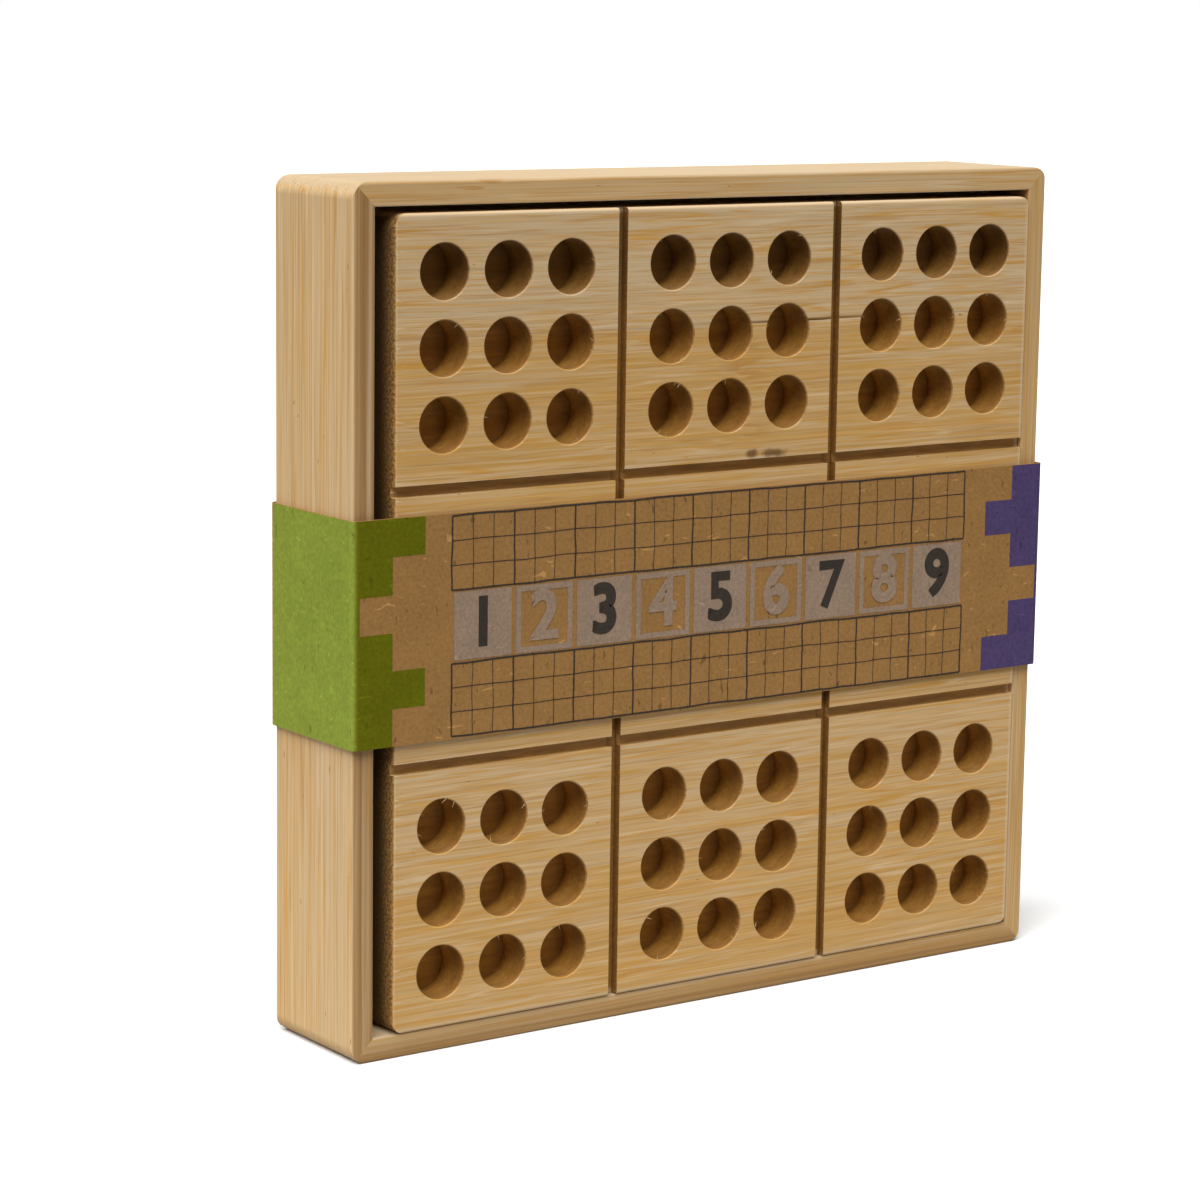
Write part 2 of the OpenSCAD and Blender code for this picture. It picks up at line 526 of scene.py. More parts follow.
        # The ramp is sampled in 256 steps, so each strip starts a little early.
        for number, strip in enumerate(self.strips):
            begin = (self.strip_start + number * self.strip_w - self.strip_lap) / depth if number else 0.0
            stop = stops.new(begin) if number else stops[0]
            stop.position = begin
            stop.color = (strip.tone, strip.knuckle_share, strip.joint_share, 1.0)
        tone, knuckle_share, joint_share = graph.split(ramp.outputs[0])
        length = self.span[self.grain.value]
        bells = []
        for share, width in ((knuckle_share, self.knuckle_w), (joint_share, self.joint_w)):
            distance = graph.times(graph.minus(shares[self.grain.value], share), length / width)
            there = graph.math("GREATER_THAN", share, LEAST_SHARE)
            bells.append(graph.times(graph.bell(distance), there))
        return tone, bells[0], bells[1]

    def stretched(
        self, graph: Graph, where: Socket, along: float, across: float, detail: float
    ) -> Socket:
        """Stretches a noise along the grain.

        Args:
            graph: Graph of the material.
            where: Place that is looked up.
            along: Scale along the grain.
            across: Scale across the grain.
            detail: Detail of the noise.

        Returns:
            The noise's value.
        """
        scale = [across] * 3
        scale[self.grain.value] = along
        return graph.noise(graph.vector("MULTIPLY_ADD", where, tuple(scale), (self.seed,) * 3), 1.0, detail)

    def woven(self, graph: Graph, where: Socket, weave: Weave, short: float = 1.0) -> Socket:
        """Returns a weave's noise, with its marks shortened by a factor."""
        return self.stretched(graph, where, weave.along * short, weave.across, weave.detail)

    def cut_weave(self, graph: Graph, where: Socket, weave: Weave) -> Socket:
        """Returns a weave's noise, cut at its edge."""
        return graph.smooth(self.woven(graph, where, weave), weave.edge)

    def fibre_colour(self, spot: Spot) -> Triple:
        """Colours the long fibres.

        Args:
            spot: The shaded point.

        Returns:
            The colour, the broad streaks and the fine fibres.
        """
        graph, fibres = spot.graph, spot.fibres
        broad = self.woven(graph, fibres, self.broad)
        streak = self.woven(graph, fibres, self.streak, self.shortness)
        fine = self.woven(graph, fibres, self.fine)
        lean = graph.fit(graph.minus(broad, 0.5), self.broad.share, spot.tone)
        gold = graph.fit(graph.minus(streak, 0.5), self.streak.share, lean, clamp=True)
        colour = graph.mix(gold, self.pale, self.gold)
        for line in self.ridges:
            along = line.along * self.shortness
            level = self.stretched(graph, fibres, along, line.across, 1.0)
            ridge = graph.bell(graph.math("DIVIDE", graph.minus(level, 0.5), line.width))
            fade = self.stretched(graph, fibres, line.broken * along, line.across, 1.0)
            amount = graph.times(ridge, graph.smooth(fade, line.edge), line.share)
            colour = graph.mix(amount, colour, line.tint)
        dash = graph.times(self.cut_weave(graph, fibres, self.dash), spot.knuckle, self.dash.share)
        colour = graph.mix(dash, colour, AMBER)
        shade = graph.fit(fine, self.fine.share * self.level, self.fine_floor * self.level)
        colour = graph.shaded(colour, shade)
        speck = graph.times(self.cut_weave(graph, fibres, self.speck), self.speck.share)
        return graph.mix(speck, colour, self.umber), streak, fine

    def marks(self, spot: Spot) -> Iterator[Coat]:
        """Makes the glue lines between strips, the dark stains and the denser fibres of the front.

        Args:
            spot: The shaded point.

        Yields:
            The amount and the tint of each.
        """
        graph, stack, dense = spot.graph, self.stack.value, self.dense
        if len(self.strips) > 1:
            place = graph.times(spot.shares[stack], self.span[stack] / self.strip_w)
            start = -self.wobble / 2 - self.strip_start / self.strip_w
            wobble = graph.fit(graph.noise(spot.where, self.wobble_scale), self.wobble, start)
            gap = graph.math("FRACT", graph.math("ADD", place, wobble))
            depth = graph.fit(spot.joint, *self.joint_fit)
            yield graph.times(graph.fall(gap, self.joint_edge), depth), self.umber
        for stain in self.stains:
            away = graph.vector("SUBTRACT", spot.where, stain.middle)
            size = graph.vector("LENGTH", graph.vector("DIVIDE", away, stain.half))
            rag = graph.times(graph.noise(spot.where, stain.scale, 3.0), stain.ragged)
            mark = graph.fall(graph.math("ADD", size, rag), stain.edge)
            yield graph.times(mark, stain.share), self.umber
        if dense is not None:
            rise = graph.smooth(spot.shares[dense.axis.value], dense.edge)
            grainy = graph.fit(self.woven(graph, spot.fibres, self.close), *dense.fit, clamp=True)
            front = graph.smooth(graph.times(spot.normal.y, -1.0), dense.front)
            yield graph.times(rise, grainy, front), dense.colour

    def ends(self, spot: Spot) -> Iterator[Coat]:
        """Makes speckled end grain where the surface faces along the fibres, with painted shade that
        darkens it inwards from the board's front, beside the board and inside holes.

        Args:
            spot: The shaded point.

        Yields:
            The amount and the colour of the end grain.
        """
        graph, bores = spot.graph, self.bores
        facing = graph.smooth(graph.math("ABSOLUTE", spot.normal[self.grain.value]), self.end_edge)
        ends = graph.mix(self.cut_weave(graph, spot.where, self.pores), self.end_dark, self.end_pale)
        if bores is not None:
            inward = graph.minus(spot.at.y, bores.face)
            # Painted shade: the end grain darkens inwards from the board's front.
            fade = graph.smooth(inward, (bores.end_shade_begin * bores.end_shade_depth, bores.end_shade_depth))
            ends = graph.mix(graph.times(fade, bores.end_shade_share), ends, self.end_painted_shade)
        yield graph.times(facing, self.end_share), ends

    def cuts(self, spot: Spot) -> Iterator[Coat]:
        """Makes the brown of holes and grooves: partly the cut fibres and partly painted shade, lighter
        deeper down as painted light, with painted shade in the top row of holes and in the crease at the
        floor.

        Args:
            spot: The shaded point.

        Yields:
            The amount and the colour of the brown, of the painted shade in the crease at the floor and of
            the ply line.
        """
        graph, bores = spot.graph, self.bores
        if bores is None:
            return
        depth = graph.math("DIVIDE", graph.minus(spot.at.y, bores.face), bores.depth)
        inside = graph.below(spot.normal.y, NOT_BACK)
        for axis in (Axis.X, Axis.Z):
            apart = graph.math("ABSOLUTE", graph.minus(spot.shares[axis.value], 0.5))
            inside = graph.times(inside, graph.below(apart, 0.5 - bores.margin / self.span[axis.value]))
        inside = graph.math("MAXIMUM", inside, graph.below(spot.normal.y, FLAT_FRONT))
        from_middle, level = self.grid_place(spot, bores)
        # Brown in holes and grooves: partly the cut fibres, partly painted shade; lighter deeper down as
        # painted light.
        brown = graph.mix(level, bores.cut, bores.groove)
        brown = graph.mix(graph.smooth(depth, bores.deep_light_edge), brown, bores.deep_painted_light)
        fuzz = graph.fit(self.woven(graph, spot.where, self.fuzz), *bores.fuzz_fit)
        # Painted shade: the top row of holes is darker.
        dim = graph.fit(graph.smooth(spot.shares.z, bores.top_row_shade_edge), bores.top_row_shade_gain, 1.0)
        brown = graph.shaded(brown, graph.times(fuzz, dim))
        yield graph.times(graph.smooth(depth, bores.mouth), inside, bores.share), brown
        # Painted shade: umber in the crease where the floor meets the wall.
        floor, wall = graph.smooth(depth, bores.crease_shade), graph.smooth(from_middle, bores.crease_shade_round)
        yield graph.times(floor, wall, inside, bores.crease_shade_share), self.umber
        line = graph.bell(graph.math("DIVIDE", graph.minus(depth, bores.ply), bores.ply_w))
        yield graph.times(line, inside, bores.ply_share), self.end_pale

    def grid_place(self, spot: Spot, bores: Bores) -> tuple[Socket, Socket]:
        """Finds a point's place in the grid of holes.

        Args:
            spot: The shaded point.
            bores: The holes.

        Returns:
            The distance from the middle of the nearest hole, in hole radii, and 1 along a level groove.
        """
        graph = spot.graph
        away = graph.vector("SUBTRACT", spot.where, tuple(bores.middle))
        places = []
        for size in (bores.block, bores.step):
            count = graph.vector("ADD", graph.vector("DIVIDE", away, (size,) * 3), HALF)
            whole = graph.vector("MULTIPLY", graph.vector("FLOOR", count), (size,) * 3)
            away = graph.vector("SUBTRACT", away, whole)
            places.append(away)
        across, _, height = graph.split(graph.vector("ABSOLUTE", places[0]))
        edge = bores.block / 2 - bores.groove_reach
        level = graph.times(graph.math("GREATER_THAN", height, edge), graph.below(across, edge))
        flat = graph.vector("MULTIPLY", places[1], (1.0 / bores.radius, 0.0, 1.0 / bores.radius))
        return graph.vector("LENGTH", flat), level

    def wear(self, spot: Spot) -> Iterator[Coat]:
        """Makes the painted sheen on what faces up, the painted highlight on the lip, the torn first end
        and the painted highlight along three borders.

        Args:
            spot: The shaded point.

        Yields:
            The amount and the tint of each.
        """
        graph, axis = spot.graph, self.grain.value
        # Painted sheen: faces that look up turn greyer.
        if self.top_sheen_share:
            yield graph.times(graph.smooth(spot.normal.z, self.top_sheen_edge), self.top_sheen_share), self.painted_top_sheen
        # Painted highlight: a pale line on the eased inner lip.
        if self.lip is not None:
            facing = graph.vector("DOT_PRODUCT", spot.facing, tuple(Vector(self.lip).normalized()))
            yield graph.times(graph.smooth(facing, self.lip_highlight_edge), self.lip_highlight_share), self.painted_lip_highlight
        if self.fray:
            inward = graph.minus(spot.at[axis], self.low[axis])
            near = graph.fall(inward, (self.fray_begin * self.fray, self.fray))
            torn = self.cut_weave(graph, spot.where, self.torn)
            yield graph.times(near, graph.below(spot.normal.y, FLAT_FRONT), torn, self.torn.share), HUSK
        # Painted highlight: a pale band along the right, top and bottom borders of the front.
        if self.edge_highlight:
            x, _, z = spot.at
            inward = graph.minus(self.high.x, x)
            for distance in (graph.minus(self.high.z, z), graph.minus(z, self.low.z)):
                inward = graph.math("MINIMUM", inward, distance)
            near = graph.fall(inward, (self.edge_highlight_begin * self.edge_highlight, self.edge_highlight))
            yield graph.times(near, graph.below(spot.normal.y, LEAN_FRONT), self.edge_highlight_share), HUSK


@dataclass(frozen=True)
class Card:
    """Uncoated kraft card with loose fibres, bare or under one flat ink, with a lighter copy of the colour
    on faces that look along X as painted light.
    """

    name: str
    base: Colour
    # Lighter colour on faces that look along X: painted light.
    side: Colour
    flecks: float = 1.0
    lit_side_edge: Range = (0.25, 0.85)
    cloud_scale: float = 140.0
    cloud_fit: Range = (0.30, 0.50)
    grit_scale: float = 1500.0
    grit_gain: float = 0.70
    swirl_scale: float = 300.0
    swirl: float = 0.003
    fleck_share: float = 0.6
    fleck_rise: float = 0.06
    fleck_kinds: tuple[tuple[Point, float, float], ...] = (
        ((900.0, 900.0, 260.0), 0.70, 0.35),
        ((240.0, 900.0, 1000.0), 0.71, 1.9),
    )
    rough_fit: Range = (0.1, 0.77)
    shine: float = 0.06

    def material(self) -> Material:
        """Builds the card's node material.

        Returns:
            A material that reads Object coordinates and normals.
        """
        material, graph, shader = new_material(self.name)
        coordinates = graph.node("ShaderNodeTexCoord").outputs
        where = coordinates["Object"]
        facing = graph.math("ABSOLUTE", graph.split(coordinates["Normal"]).x)
        # Painted light: faces that look along X, the band's sides, take the lighter colour.
        colour = graph.mix(graph.smooth(facing, self.lit_side_edge), self.base, self.side)
        cloud = graph.fit(graph.noise(where, self.cloud_scale, 3.0), *self.cloud_fit)
        grit = graph.noise(where, self.grit_scale, 3.0)
        colour = graph.shaded(colour, graph.math("ADD", cloud, graph.times(grit, self.grit_gain)))
        shift = graph.vector("MULTIPLY", graph.waves(where, self.swirl_scale, 1.0), (self.swirl,) * 3)
        bent = graph.vector("ADD", where, shift)
        for scale, low, tint in self.fleck_kinds:
            fibre = graph.noise(graph.vector("MULTIPLY", bent, scale), 1.0, 1.0)
            mask = graph.smooth(fibre, (low, low + self.fleck_rise))
            toned = graph.mix(1.0, colour, (tint,) * 3, "MULTIPLY")
            colour = graph.mix(graph.times(mask, self.fleck_share * self.flecks), colour, toned)
        graph.finish(shader, colour, graph.fit(grit, *self.rough_fit), self.shine, grit)
        return material


@dataclass(frozen=True)
class Straw:
    """Pale torn fibre."""

    name: str = "torn_fibre"
    light: Colour = (0.70, 0.52, 0.30)
    dark: Colour = (0.50, 0.33, 0.15)
    scale: float = 700.0
    roughness: float = 0.6

    def material(self) -> Material:
        """Builds the fibre's node material.

        Returns:
            A material that reads Object coordinates.
        """
        material, graph, shader = new_material(self.name)
        where = graph.node("ShaderNodeTexCoord").outputs["Object"]
        colour = graph.mix(graph.noise(where, self.scale), self.dark, self.light)
        graph.feed(shader.inputs["Base Color"], colour)
        graph.feed(shader.inputs["Roughness"], self.roughness)
        return material


def link(mesh: Mesh) -> Piece:
    """Makes an object of a mesh, with its name, and puts it in the scene.

    Args:
        mesh: Mesh with its place in its vertices.

    Returns:
        The new object, at the origin.
    """
    made = bpy.data.objects.new(mesh.name, mesh)
    bpy.context.scene.collection.objects.link(made)
    return made


def mesh_of(name: str, points: Iterable[Iterable[float]], faces: Iterable[Iterable[int]]) -> Mesh:
    """Makes a mesh of points and faces.

    Args:
        name: Name of the mesh.
        points: Vertices in metres.
        faces: Vertex numbers of each face.

    Returns:
        The new mesh.
    """
    mesh = bpy.data.meshes.new(name)
    mesh.from_pydata([tuple(p) for p in points], [], [tuple(f) for f in faces])
    mesh.validate()
    return mesh


class NodeTool:
    """A Geometry Nodes tree with named inputs, which makes one plain mesh at a time."""

    def __init__(self, name: str, **inputs: str) -> None:
        """Makes the tree and its interface.

        Args:
            name: Name of the tree.
            inputs: Kind of socket of each named input, besides Material.
        """
        self.name = name
        self.tree = bpy.data.node_groups.new(name, "GeometryNodeTree")
        self.graph = Graph(self.tree)
        face = self.tree.interface
        face.new_socket(name="Geometry", in_out="INPUT", socket_type="NodeSocketGeometry")
        self.keys = {
            key: face.new_socket(name=key, in_out="INPUT", socket_type=f"NodeSocket{kind}").identifier
            for key, kind in {**inputs, "Material": "Material"}.items()
        }
        face.new_socket(name="Geometry", in_out="OUTPUT", socket_type="NodeSocketGeometry")
        self.given = self.graph.node("NodeGroupInput").outputs

    def on_points(self, points: Socket, instance: Socket, **inputs: Socket) -> Socket:
        """Returns instances on points, with further inputs of the node by name."""
        values = {"Points": points, "Instance": instance, **inputs}
        return self.graph.first("GeometryNodeInstanceOnPoints", values)

    def real(self, geometry: Socket) -> Socket:
        """Returns realized instances."""
        return self.graph.first("GeometryNodeRealizeInstances", {0: geometry})

    def close(self, geometry: Socket) -> None:
        """Ends the tree in Realize Instances and Set Material.

        Args:
            geometry: What the tree has made.
        """
        values = {0: self.real(geometry), "Material": self.given["Material"]}
        dressed = self.graph.first("GeometryNodeSetMaterial", values)
        self.graph.node("NodeGroupOutput", {0: dressed})

    def make(self, name: str, points: list[Point], **values: Any) -> Mesh:
        """Runs the tree on points.

        Args:
            name: Name of the mesh.
            points: Points that the tree starts from.
            values: Value of each named input.

        Returns:
            The realized mesh.
        """
        carrier = link(mesh_of(f"{name}_points", points, []))
        modifier = carrier.modifiers.new(self.name, "NODES")
        modifier.node_group = self.tree
        for key, value in values.items():
            modifier[self.keys[key]] = value
        graph = bpy.context.evaluated_depsgraph_get()
        made = bpy.data.meshes.new_from_object(carrier.evaluated_get(graph))
        carrier.modifiers.clear()
        bpy.data.objects.remove(carrier)
        made.name = name
        return made


def numeral_tool() -> NodeTool:
    """Builds the tree that sets one filled numeral on each point.

    Returns:
        A tool with inputs Digit, Size, Weight, Turn and Material.
    """
    tool = NodeTool("set_numerals", Digit="String", Size="Float", Weight="Float", Turn="Rotation")
    graph, given = tool.graph, tool.given
    text = graph.first(
        "GeometryNodeStringToCurves",
        {"String": given["Digit"], "Size": given["Size"]},
        align_x="CENTER",
        align_y="MIDDLE",
    )
    outline = tool.real(text)
    filled = graph.first("GeometryNodeFillCurve", {0: outline})
    level = graph.first("GeometryNodeSetCurveNormal", {0: outline}, mode="Z_UP")
    reach = graph.math("DIVIDE", given["Weight"], 2.0)
    ends = {"Start": graph.join(graph.times(reach, -1.0)), "End": graph.join(reach)}
    nib = graph.first("GeometryNodeCurvePrimitiveLine", ends)
    ribbon = graph.first("GeometryNodeCurveToMesh", {0: level, 1: nib})
    rim = graph.first("GeometryNodeTransform", {0: ribbon, "Translation": (0.0, 0.0, RIM_LIFT)})
    bold = graph.node("GeometryNodeJoinGeometry")
    for part in (filled, rim):
        graph.feed(bold.inputs[0], part)
    tool.close(tool.on_points(given["Geometry"], bold.outputs[0], Rotation=given["Turn"]))
    return tool


def fibre_tool() -> NodeTool:
    """Builds the tree that leaves torn fibres around round rims.

    Returns:
        A tool with inputs Radius, Length, Thickness, Share, Seed and Material.
    """
    tool = NodeTool(
        "tear_fibres", Radius="Float", Length="Float", Thickness="Float", Share="Float", Seed="Int"
    )
    graph, given = tool.graph, tool.given
    ring = graph.first("GeometryNodeMeshCircle", {"Vertices": RIM_POINTS, "Radius": given["Radius"]})
    upright = graph.first("GeometryNodeTransform", {0: ring, "Rotation": (math.pi / 2, 0.0, 0.0)})
    outward = graph.first("GeometryNodeInputPosition")
    kept = graph.node("GeometryNodeCaptureAttribute", {0: upright})
    kept.capture_items.new("VECTOR", "Rim")
    inward = graph.vector("NORMALIZE", graph.vector("MULTIPLY", outward, (-1.0, -1.0, -1.0)))
    graph.feed(kept.inputs[1], inward)
    loose = tool.real(tool.on_points(given["Geometry"], kept.outputs[0]))
    draws = []
    for kind, inputs, place in (
        ("BOOLEAN", {"Probability": given["Share"]}, 3),
        ("FLOAT_VECTOR", {0: SLIVER_SWING[0], 1: SLIVER_SWING[1]}, 0),
        ("FLOAT", {2: SLIVER_GROWTH[0], 3: SLIVER_GROWTH[1]}, 1),
    ):
        draw = graph.node("FunctionNodeRandomValue", {**inputs, "Seed": given["Seed"]}, data_type=kind)
        draws.append(draw.outputs[place])
    pick, swing, grow = draws
    lean = graph.vector("ADD", kept.outputs[1], swing)
    turn = graph.first("FunctionNodeAlignRotationToVector", {"Vector": lean}, axis="Z")
    shape = {"Radius Top": SLIVER_TIP, "Radius Bottom": given["Thickness"], "Depth": given["Length"]}
    sliver = graph.first("GeometryNodeMeshCone", {"Vertices": SLIVER_SIDES, **shape})
    tool.close(tool.on_points(loose, sliver, Selection=pick, Rotation=turn, Scale=grow))
    return tool


def ruling_tool() -> NodeTool:
    """Builds the tree that rules a pen line through each point.

    Returns:
        A tool with inputs Length, Width, Turn, Sway and Material.
    """
    tool = NodeTool("rule_lines", Length="Float", Width="Float", Turn="Rotation", Sway="Float")
    graph, given = tool.graph, tool.given
    size = {"Size X": given["Length"], "Size Y": given["Width"]}
    stroke = graph.first("GeometryNodeMeshGrid", {**size, "Vertices X": STROKE_POINTS, "Vertices Y": 2})
    loose = tool.real(tool.on_points(given["Geometry"], stroke, Rotation=given["Turn"]))
    waves = graph.waves(graph.first("GeometryNodeInputPosition"), SWAY_SCALE, 2.0)
    shift = graph.vector("MULTIPLY", waves, graph.join(given["Sway"], given["Sway"]))
    tool.close(graph.first("GeometryNodeSetPosition", {0: loose, "Offset": shift}))
    return tool


def set_finish(name: str, finish: Bamboo) -> None:
    """Puts a finish on a CAD node.

    Args:
        name: CAD node.
        finish: Finish to build and set.
    """
    node = frame["nodes"][name]
    node.data.materials.clear()
    node.data.materials.append(finish.material())
    LOG.info("dressed %s in %s", name, finish.name)


def keep(piece: Piece, body: str, slot: str) -> None:
    """Makes a piece ride on its body, and logs it.

    Args:
        piece: Finished piece.
        body: CAD body.
        slot: Material slot of the record; not used.
    """
    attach(piece, body)
    LOG.info("made %s with %d faces on %s", piece.name, len(piece.data.polygons), body)


@dataclass(frozen=True)
class Rail:
    """Look of one rail or ledge of the tray."""

    name: str
    grain: Axis
    seed: float
    tone: float = 0.4
    level: float = 1.0
    knuckle_share: float = 0.0
    # Direction of the inner lip that gets the painted highlight.
    lip: Point | None = None
    dense: Dense | None = None


@dataclass
class Tray:
    """The mitred tray: four rails, base panel and the ledges inside."""

    rails: tuple[Rail, ...] = (
        Rail("left_rail", Axis.Z, 1.0, 0.15, lip=(1.0, -1.0, 0.0), dense=Dense(Axis.X, (0.0, 0.10))),
        Rail("right_rail", Axis.Z, 4.1, 0.50, 0.96),
        Rail("left_ledge", Axis.Z, 7.2),
        Rail("right_ledge", Axis.Z, 10.3),
        Rail("top_rail", Axis.X, 20.0, 0.38, knuckle_share=0.16, lip=(0.0, -1.0, -1.0)),
        Rail("bottom_rail", Axis.X, 22.3, 0.48, 0.95, dense=Dense(Axis.Z, (0.95, 0.15))),
        Rail("top_ledge", Axis.X, 24.6),
        Rail("bottom_ledge", Axis.X, 26.9),
    )
    # Share of the painted sheen on the rails' up-facing faces.
    top_sheen_share: float = 0.45
    end_share: float = 0.1
    panel: str = "base_panel"
    panel_strips: int = 7
    panel_tone: float = 0.4
    panel_swing: float = 0.12
    panel_turn: float = 2.1
    panel_seed: float = 40.0

    def dress(self) -> None:
        """Gives every tray node its bamboo, with the grain along its length."""
        for rail in self.rails:
            low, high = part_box(rail.name)
            finish = Bamboo(
                f"{rail.name}_bamboo",
                low,
                high,
                rail.grain,
                strips=(Strip(rail.tone, rail.knuckle_share),),
                level=rail.level,
                seed=rail.seed,
                dense=rail.dense,
                lip=rail.lip,
                top_sheen_share=self.top_sheen_share,
                end_share=self.end_share,
            )
            set_finish(rail.name, finish)
        swings = [math.sin(self.panel_turn * number) for number in range(self.panel_strips)]
        strips = tuple(Strip(self.panel_tone + self.panel_swing * swing) for swing in swings)
        low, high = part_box(self.panel)
        width = (high.z - low.z) / self.panel_strips
        finish = Bamboo("panel_bamboo", low, high, strips=strips, strip_w=width, seed=self.panel_seed)
        set_finish(self.panel, finish)


@dataclass
class PegBoard:
    """The lift-out board with its blind holes and the fibres that the drill left."""

    node: str = "peg_board"
    backing: str = "board_back"
    body: str = "board"
    slot: str = "board_bamboo"
    hole_depth: float = 0.0075
    # Depth from the front over which the end grain darkens: painted shade.
    end_shade_depth: float = 0.0055
    strips: tuple[Strip, ...] = (
        Strip(0.80),
        Strip(0.45),
        Strip(0.60),
        Strip(0.60),
        Strip(0.70, 0.52),
        Strip(0.08, 0.0, 0.62),
    )
    strip_start: float = 0.0006
    strip_w: float = 0.025
    shortness: float = 2.2
    seed: float = 60.0
    backing_seed: float = 70.0
    smudges: tuple[Point, ...] = ((0.0128, 0.1053, 0.0044), (0.0074, 0.1054, 0.0024))
    smudge_depth: float = 0.003
    smudge_h: float = 0.0012
    fray: float = 0.003
    # Width of the painted highlight along the board's borders.
    edge_highlight: float = 0.0013
    fibre_length: float = 0.0012
    fibre_thickness: float = 0.00007
    fibre_share: float = 0.04
    fibre_seed: int = 4
    fibre_sink: float = 0.0001
    holes: list[Point] = field(default_factory=list)
    radius: float = 0.005

    def measure(self) -> None:
        """Reads the holes' places and radius from the record."""
        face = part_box(self.node)[0].y
        for mount in frame["record"]["mounts"]:
            if mount["kind"] == "bore":
                x, _, z = mount["pos_m"]
                self.holes.append((x, face + self.fibre_sink, z))
                self.radius = mount["dims"]["r_mm"] * MM

    def bores(self, face: float) -> Bores:
        """Works out the holes' grid.

        Args:
            face: Place of the board's front along Y.

        Returns:
            The holes and grooves for the finish.
        """
        across = sorted({round(hole[0], 6) for hole in self.holes})
        middle = sum((Vector(hole) for hole in self.holes), Vector()) / len(self.holes)
        # The second and the fifth hole across are the middles of the first two blocks.
        block, step = across[4] - across[1], across[1] - across[0]
        return Bores(face, self.hole_depth, self.radius, middle, block, step, self.end_shade_depth)

    def dress(self) -> None:
        """Gives both plies their stacked bamboo strips, and the front its marks, its frayed end and a
        painted highlight along its other borders.
        """
        low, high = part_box(self.node)
        finish = Bamboo(
            "board_bamboo",
            low,
            high,
            strips=self.strips,
            strip_start=self.strip_start,
            strip_w=self.strip_w,
            shortness=self.shortness,
            seed=self.seed,
            bores=self.bores(low.y),
        )
        stains = tuple(
            Stain((x, low.y, z), (half, self.smudge_depth, self.smudge_h)) for x, z, half in self.smudges
        )
        set_finish(self.node, replace(finish, stains=stains, fray=self.fray, edge_highlight=self.edge_highlight))
        low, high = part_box(self.backing)
        finish = replace(finish, name="backing_bamboo", low=low, high=high, seed=self.backing_seed)
        set_finish(self.backing, finish)

    def build_fibres(self) -> None:
        """Leaves a few torn fibres at the mouths of the holes."""
        mesh = fibre_tool().make(
            "rim_fibres",
            self.holes,
            Radius=self.radius,
            Length=self.fibre_length,
            Thickness=self.fibre_thickness,
            Share=self.fibre_share,
            Seed=self.fibre_seed,
            Material=Straw().material(),
        )
        keep(link(mesh), self.body, self.slot)


@dataclass
class PegColumn:
    """Nine pegs of one digit in their column of the store."""

    digit: int
    numeral: float = 0.0075
    weight: float = 0.0004
    lift: float = 0.00004
    end_pale: Colour = (0.50, 0.33, 0.16)
    first_seed: float = 80.0

    def dress(self) -> None:
        """Gives the pegs their bamboo, with the grain along them."""
        name = f"pegs_{self.digit}"
        low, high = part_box(name)
        seed = self.first_seed + self.digit
        set_finish(name, Bamboo(f"{name}_wood", low, high, seed=seed, end_pale=self.end_pale))

    def build_numerals(self, tool: NodeTool, ink: Material) -> None:
        """Prints the digit on the right-hand end of each peg.

        Args:
            tool: Tree that sets numerals.
            ink: Material of the print.
        """
        low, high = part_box(f"pegs_{self.digit}")
        pitch = (high.z - low.z - (high.y - low.y)) / (DIGITS - 1)
        start = low.z + (high.y - low.y) / 2
        mesh = tool.make(
            f"peg_numerals_{self.digit}",
            [(high.x + self.lift, (low.y + high.y) / 2, start + pitch * row) for row in range(DIGITS)],
            Digit=str(self.digit),
            Size=self.numeral,
            Weight=self.weight,
            Turn=Matrix(((0, 0, 1), (1, 0, 0), (0, 1, 0))).to_euler(),
            Material=ink,
        )
        keep(link(mesh), f"peg_column_{self.digit}", "peg_wood")


